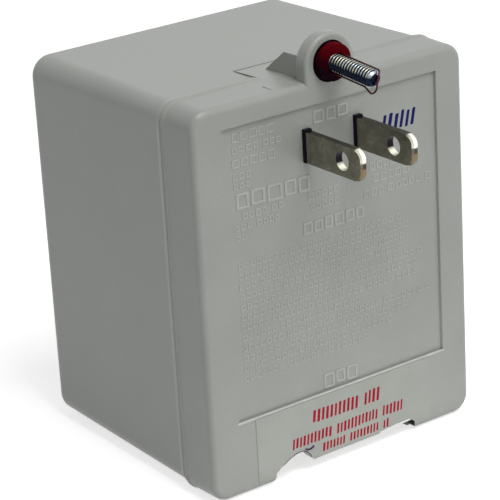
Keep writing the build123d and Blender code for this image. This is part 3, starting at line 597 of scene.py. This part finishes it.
# Print on the film and a stamp on the panel, as plain strokes in rows
print_rise = 0.01
print_lean = 0.12
print_rows = (
    (-8.4, 9.9, 11.75, 3.0, 0.6, 0.5),
    (-13.8, 15.0, 7.35, 2.4, 0.5, 0.42),
    (-6.2, 11.6, 4.4, 1.95, 0.48, 0.4),
)
stamp_left, stamp_right, stamp_z = 12.9, 22.6, 69.0
stamp_height, stamp_stroke, stamp_gap = 3.7, 0.8, 0.7
stamp_lean = 0.22

red = ink_and_painted_shade("red_ink", srgb(178, 8, 44), srgb(146, 4, 40))
blue = ink_and_painted_shade("blue_ink", srgb(18, 18, 96), srgb(12, 10, 78))
red_print = Shape()
for left, right, z, height, stroke, gap in print_rows:
    row(red_print, left, right, z, height, stroke, gap, film_y, print_rise, pick, print_lean, words=(6, 12))
make_object("film_print", red_print, red)
stamp = Shape()
row(stamp, stamp_left, stamp_right, stamp_z, stamp_height, stamp_stroke, stamp_gap, panel_y, print_rise, pick,
    lean=stamp_lean, words=(20, 21))
make_object("panel_stamp", stamp, blue)

# Painted shade of the slots round the roots of the blades, as thin black sleeves
slot_shade_length = 1.0
slot_shade_side = 0.1
slot_shade_low = 0.06
slot_shade_high = 0.35


def ring_sleeve(shape, outer, inner, y_front, y_back):
    """Square sleeve along Y between two rectangles given as left, right, low and high."""
    start = len(shape.points)
    for y in (y_front, y_back):
        for left, right, low, high in (outer, inner):
            shape.points.extend(((left, y, low), (right, y, low), (right, y, high), (left, y, high)))
    for i in range(4):
        j = (i + 1) % 4
        for a, b in ((0, 4), (12, 8), (8, 0), (4, 12)):
            shape.faces.append((start + a + i, start + a + j, start + b + j, start + b + i))


slot_shade_black = ink_and_painted_shade("slot_shade_black", srgb(6, 4, 20), srgb(3, 2, 12))
slot_shades = Shape()
for name in ("blade_left", "blade_right"):
    blade_low, blade_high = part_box(name)
    middle_x = (blade_low.x + blade_high.x) / 2
    middle_z = (blade_low.z + blade_high.z) / 2
    half_x, half_z = blade_thickness / 2 * MM, blade_width / 2 * MM
    inner = (middle_x - half_x, middle_x + half_x, middle_z - half_z, middle_z + half_z)
    outer = (
        inner[0] - slot_shade_side * MM,
        inner[1] + slot_shade_side * MM,
        inner[2] - slot_shade_low * MM,
        inner[3] + slot_shade_high * MM,
    )
    ring_sleeve(slot_shades, outer, inner, panel_y - slot_shade_length * MM, panel_y)
make_object("blade_slot_shades", slot_shades, slot_shade_black)

# Ridge on the shell behind the cover's tongue, and dust and fill in the slots beside it
ridge_start = 17.78
ridge_thickness = 0.25
ridge_low_z, ridge_high_z = 81.2, 81.64
wide_slot = (10.21, 10.49)
narrow_gap = (10.20, 10.35)
slot_floor_z = 80.8


def block(shape, left, right, front, back, low, high):
    """Plain block in millimetres, its front and back counted from the wall-side face."""
    start = len(shape.points)
    for depth in (front, back):
        y = face_y + depth * MM
        for x, z in ((left, low), (right, low), (right, high), (left, high)):
            shape.points.append((x * MM, y, z * MM))
    for corners in ((0, 1, 2, 3), (7, 6, 5, 4), (0, 4, 5, 1), (1, 5, 6, 2), (2, 6, 7, 3), (3, 7, 4, 0)):
        shape.faces.append(tuple(start + corner for corner in corners))


ridge = Shape()
block(ridge, -tongue_half_width, tongue_half_width, ridge_start, ridge_start + ridge_thickness,
      ridge_low_z, ridge_high_z)
make_object("notch_ridge", ridge, finishes["case_plastic"])
dust = Shape()
plugs = Shape()
for side in (-1, 1):
    for width, front, back, shape, high_z in (
        (wide_slot, 13.2, 17.9, dust, 81.47),
        (narrow_gap, 10.9, 13.2, dust, 81.5),
        (wide_slot, 17.9, 18.8, plugs, 81.46),
        (narrow_gap, 9.9, 10.9, plugs, 81.74),
    ):
        left, right = sorted(side * x for x in width)
        block(shape, left, right, front, back, slot_floor_z, high_z)
dust_brown = soft_plastic("slot_dust", srgb(136, 122, 104), srgb(116, 102, 86), 0.7)
make_object("slot_dust", dust, dust_brown)
# Fill in the gap at the tongue's end, then in the short slit on the left
block(plugs, -tongue_half_width, tongue_half_width, 17.42, 17.74, 81.2, 81.43)
block(plugs, -13.34, -13.06, 1.72, 4.58, 81.5, 81.76)
make_object("slot_plugs", plugs, finishes["case_plastic"])

# Bead along the panel's lower edge, coloured lighter than the case as a painted highlight
bead_half_length = 26.9
bead_foot = 0.04
bead_rise = 0.16
bead_half_height = 0.22
bead_sides = 6
bead_z = cover_low.z + (rim_step - front_step + panel_bottom_margin - panel_draft_run) * MM

bead = Shape()
for x in (-bead_half_length * MM, bead_half_length * MM):
    for i in range(bead_sides + 1):
        angle = math.pi * i / bead_sides
        y = face_y + (bead_foot - bead_rise * math.sin(angle)) * MM
        bead.points.append((x, y, bead_z + bead_half_height * math.cos(angle) * MM))
for i in range(bead_sides):
    far = bead_sides + 1 + i
    bead.faces.append((i, i + 1, far + 1, far))
bead_painted_highlight = soft_plastic("bead_painted_highlight", srgb(206, 209, 204), srgb(194, 197, 191), 0.36)
make_object("panel_lower_edge", bead, bead_painted_highlight, smooth=True)

# Painted highlights and painted shade on the film's edges at the notch, and the curl beside its scallop,
# coloured dark as painted shade
edge_rise = 0.01
# Across, top of the painted highlight and the cut below it, along the left scallop
scallop = (
    (-17.3, 3.12, 2.97),
    (-16.5, 3.62, 3.3),
    (-15.6, 4.08, 3.68),
    (-14.75, 4.51, 4.03),
    (-13.95, 4.88, 4.37),
    (-13.24, 5.13, 4.66),
    (-12.39, 5.27, 4.93),
    (-11.54, 5.24, 5.04),
    (-10.95, 5.08, 5.0),
    (-10.35, 4.72, 4.62),
    (-9.9, 4.26, 4.08),
    (-9.5, 3.72, 3.6),
    (-9.2, 3.24, 3.22),
)
# Across, height and width of the painted highlight right of the notch's middle
right_edge = ((8.7, 2.79, 0.1), (11.0, 2.83, 0.3), (13.0, 2.87, 0.4), (16.9, 2.95, 0.4))
curl = ((-10.75, 5.5), (-10.35, 5.24), (-9.9, 5.1), (-9.35, 5.1), (-8.9, 5.28), (-8.55, 5.56))
curl_width = 0.34
curl_rise = 0.12
dark_rise = 0.02
dark_start_width = 0.12
dark_width = 0.2


def strip(shape, upper, lower, y, rise):
    """Flat strip between two lines of x and z places in millimetres, rise proud of the plane y."""
    start = len(shape.points)
    for high, low in zip(upper, lower):
        for place in (high, low):
            shape.points.append((place[0] * MM, y, place[1] * MM))
            shape.points.append((place[0] * MM, y - rise * MM, place[1] * MM))
    for i in range(len(upper) - 1):
        a = start + 4 * i
        shape.faces.append((a + 1, a + 5, a + 7, a + 3))
        shape.faces.append((a, a + 4, a + 5, a + 1))
        shape.faces.append((a + 2, a + 3, a + 7, a + 6))


def band(shape, path, width, y, rise):
    """Flat strip of even width along a line of places."""
    upper, lower = [], []
    for i, (x, z) in enumerate(path):
        before, after = path[max(i - 1, 0)], path[min(i + 1, len(path) - 1)]
        along = Vector((after[0] - before[0], after[1] - before[1])).normalized() * (width / 2)
        upper.append((x - along.y, z + along.x))
        lower.append((x + along.y, z - along.x))
    strip(shape, upper, lower, y, rise)


arch = [(x, high) for x, high, low in scallop]
cut = [(x, low) for x, high, low in scallop]
highlight_strips = Shape()
strip(highlight_strips, arch, cut, film_y, edge_rise)
glint_top = [(x, z + wide) for x, z, wide in right_edge]
glint_foot = [(x, z) for x, z, wide in right_edge]
strip(highlight_strips, glint_top, glint_foot, film_y, edge_rise)
film_highlight_paint = soft_plastic("film_edge_painted_highlight", srgb(244, 245, 242), srgb(238, 240, 234), 0.4, 0.004)
make_object("film_painted_highlights", highlight_strips, film_highlight_paint)
shade_strips = Shape()
over_light_y = film_y - edge_rise * MM
# Painted shade along the scallop's arch, over the painted highlight
band(shade_strips, arch[1:5], dark_start_width, over_light_y, dark_rise)
band(shade_strips, arch[4:], dark_width, over_light_y, dark_rise)
# The curl is a raised strip, coloured dark as painted shade
band(shade_strips, curl, curl_width, film_y, curl_rise)
film_shade_paint = ink_and_painted_shade("film_edge_painted_shade", srgb(86, 52, 92), srgb(50, 34, 66))
make_object("film_curl_and_painted_shade", shade_strips, film_shade_paint)

# Painted shade, as dark linings in the washer's recess and on the notch's right wall
shade_lining_around = 48
# Radius and depth behind the face of each ring of the recess's lining
recess_rings = ((2.0, 1.58), (4.17, 1.58), (4.17, 0.12))

shade_lining = Shape()
for radius, depth in recess_rings:
    for k in range(shade_lining_around):
        angle = 2 * math.pi * k / shade_lining_around
        z = recess_middle_z + radius * math.sin(angle)
        shade_lining.points.append((radius * math.cos(angle) * MM, face_y + depth * MM, z * MM))
shade_lining.join_rings(0, len(recess_rings), shade_lining_around)
block(shade_lining, 18.24, 18.3, 0.06, 2.2, 1.2, 2.6)
shade_lining_black = ink_and_painted_shade("shade_lining", srgb(20, 14, 40), srgb(12, 9, 24))
make_object("recess_painted_shade", shade_lining, shade_lining_black)

# Mounting screw with its real thread, on the shank's own axis, from the mount on the washer's front
pitch = 0.794
major = 1.75
minor = 1.40
ridge_width = 1.28
flank_slope = 2.9
thread_low = -1.2
thread_high = 11.9
tip_taper = 0.6
tip_radius = 1.25
# Radius and depth of each ring of the cupped tip
cup_rings = ((1.0, 0.0), (0.72, 0.5), (0.3, 0.5))
rings_per_turn = 14
segments = 40

screw_mount = next(m for m in frame["record"]["mounts"] if m["name"] == "fixing_screw")
axis_dir = Vector(screw_mount["axis"]).normalized()
washer_front = Vector(screw_mount["pos_m"])
across = Vector((1, 0, 0))
screw_matrix = axes_matrix(across, axis_dir.cross(across), axis_dir, washer_front)


def thread_radius(turn, z):
    """Radius of the thread: a ridge that climbs one pitch a turn, tapered at the tip."""
    phase = (z / pitch - turn) % 1.0
    crest = min(1.0, max(0.0, ridge_width - abs(phase - 0.5) * flank_slope))
    radius = minor + (major - minor) * crest
    to_tip = thread_high - z
    return min(radius, tip_radius + to_tip) if to_tip < tip_taper else radius


thread = Shape()
rings = int((thread_high - thread_low) / pitch * rings_per_turn)
for i in range(rings + 1):
    z = thread_low + (thread_high - thread_low) * i / rings
    for k in range(segments):
        turn = k / segments
        r = thread_radius(turn, z)
        angle = 2 * math.pi * turn
        thread.points.append((r * math.cos(angle) * MM, r * math.sin(angle) * MM, z * MM))
for r, depth in cup_rings:
    for k in range(segments):
        angle = 2 * math.pi * k / segments
        thread.points.append((r * math.cos(angle) * MM, r * math.sin(angle) * MM, (thread_high - depth) * MM))
all_rings = rings + 1 + len(cup_rings)
thread.join_rings(0, all_rings, segments)
thread.faces.append(tuple((all_rings - 1) * segments + k for k in range(segments)))

# The head keeps the solid's own form, cut off where the thread starts
head = bmesh.new()
head.from_mesh(nodes["mounting_screw"].data)
cut_at = washer_front + axis_dir * (thread_low * MM)
everything = head.verts[:] + head.edges[:] + head.faces[:]
bmesh.ops.bisect_plane(head, geom=everything, plane_co=cut_at, plane_no=axis_dir, clear_outer=True)
inverse = screw_matrix.inverted()
head.verts.ensure_lookup_table()
start = len(thread.points)
thread.points.extend(tuple(inverse @ v.co) for v in head.verts)
thread.faces.extend(tuple(start + v.index for v in face.verts) for face in head.faces)
head.free()
screw = make_object("screw_with_thread", thread, threaded_zinc(), screw_matrix)
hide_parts("mounting_screw")

# Pale floor, which glows a little where the camera or a reflection sees it
floor_half = 4
floor_drop = 0.00002
floor_glow = 0.68
floor_grain = 30

floor_mesh = bpy.data.meshes.new("floor")
corners = [(-floor_half, -floor_half, 0), (floor_half, -floor_half, 0),
           (floor_half, floor_half, 0), (-floor_half, floor_half, 0)]
floor_mesh.from_pydata(corners, [], [(0, 1, 2, 3)])
floor = bpy.data.objects.new("floor", floor_mesh)
bpy.context.scene.collection.objects.link(floor)
floor.location.z = low_start.z - floor_drop
ground = bpy.data.materials.new("floor_white")
ground.use_nodes = True
ground.node_tree.nodes.clear()
surface = Wiring(ground.node_tree)
path = surface.node("ShaderNodeLightPath")
seen = surface.maths("MAXIMUM", path.outputs["Is Camera Ray"], path.outputs["Is Glossy Ray"])
grain = surface.node("ShaderNodeTexNoise")
grain.inputs["Scale"].default_value = floor_grain
matt = surface.node("ShaderNodeBsdfDiffuse")
surface.link(surface.mix(grain.outputs["Fac"], (0.80, 0.80, 0.80), (0.83, 0.83, 0.83)), matt.inputs["Color"])
glow = surface.node("ShaderNodeEmission")
surface.link(surface.maths("MULTIPLY", seen, floor_glow), glow.inputs["Strength"])
both = surface.node("ShaderNodeAddShader")
surface.link(matt.outputs[0], both.inputs[0])
surface.link(glow.outputs[0], both.inputs[1])
out = surface.node("ShaderNodeOutputMaterial")
surface.link(both.outputs[0], out.inputs["Surface"])
floor_mesh.materials.append(ground)

# White surroundings, full for the camera and reflections and faint as a light
sky_light = 0.22

world = bpy.data.worlds.new("studio")
bpy.context.scene.world = world
world.use_nodes = True
sky = Wiring(world.node_tree)
path = sky.node("ShaderNodeLightPath")
glossy = sky.maths("MAXIMUM", path.outputs["Is Glossy Ray"], path.outputs["Is Transmission Ray"])
seen = sky.maths("MAXIMUM", path.outputs["Is Camera Ray"], glossy)
back = world.node_tree.nodes["Background"]
sky.link(sky.ramp(seen, 0.0, 1.0, sky_light, 1.0), back.inputs["Strength"])
back.inputs["Color"].default_value = (1, 1, 1, 1)


def lamp(name, place, aim, size, power):
    """Rectangular soft light, places in metres and power in watts."""
    light = bpy.data.lights.new(name, "AREA")
    light.shape = "RECTANGLE"
    light.size, light.size_y = size
    light.energy = power
    made = bpy.data.objects.new(name, light)
    bpy.context.scene.collection.objects.link(made)
    made.location = place
    made.rotation_euler = (Vector(aim) - Vector(place)).to_track_quat("-Z", "Y").to_euler()
    return made


centre = (0, 0, 0.045)
lamp("top_softbox", place=(0.03, -0.36, 0.72), aim=centre, size=(0.4, 0.4), power=3.6)
lamp("front_softbox", place=(0.45, -0.65, 0.25), aim=centre, size=(0.5, 0.5), power=0.6)

# Bounce from the bright table just in front of the load end
bounce_y = -0.042
bounce_place = (0.0, bounce_y, 0.0004)
bounce = lamp("table_bounce", place=bounce_place, aim=(0.0, bounce_y, 1.0), size=(0.08, 0.036), power=0.004)
bounce.visible_camera = False
bounce.visible_glossy = False

# Camera at the photograph's place, angles in radians, place in metres and lens in millimetres
yaw, pitch_down, roll = 0.618, 0.367, -0.058
camera_place = Vector((-0.26395, -0.36198, 0.21257))
camera_lens = 166.89

level_run = math.cos(pitch_down)
ahead = Vector((math.sin(yaw) * level_run, math.cos(yaw) * level_run, -math.sin(pitch_down)))
right = Vector((math.cos(yaw), -math.sin(yaw), 0))
up = right.cross(ahead)
turned_right = math.cos(roll) * right + math.sin(roll) * up
turned_up = -math.sin(roll) * right + math.cos(roll) * up
camera = bpy.data.objects.new("camera", bpy.data.cameras.new("camera"))
bpy.context.scene.collection.objects.link(camera)
camera.data.sensor_width = 36.0
camera.data.lens = camera_lens
camera.data.clip_start, camera.data.clip_end = 0.01, 20
camera.matrix_world = axes_matrix(turned_right, turned_up, -ahead, camera_place)
bpy.context.scene.camera = camera
bpy.context.scene.view_settings.view_transform = "Standard"
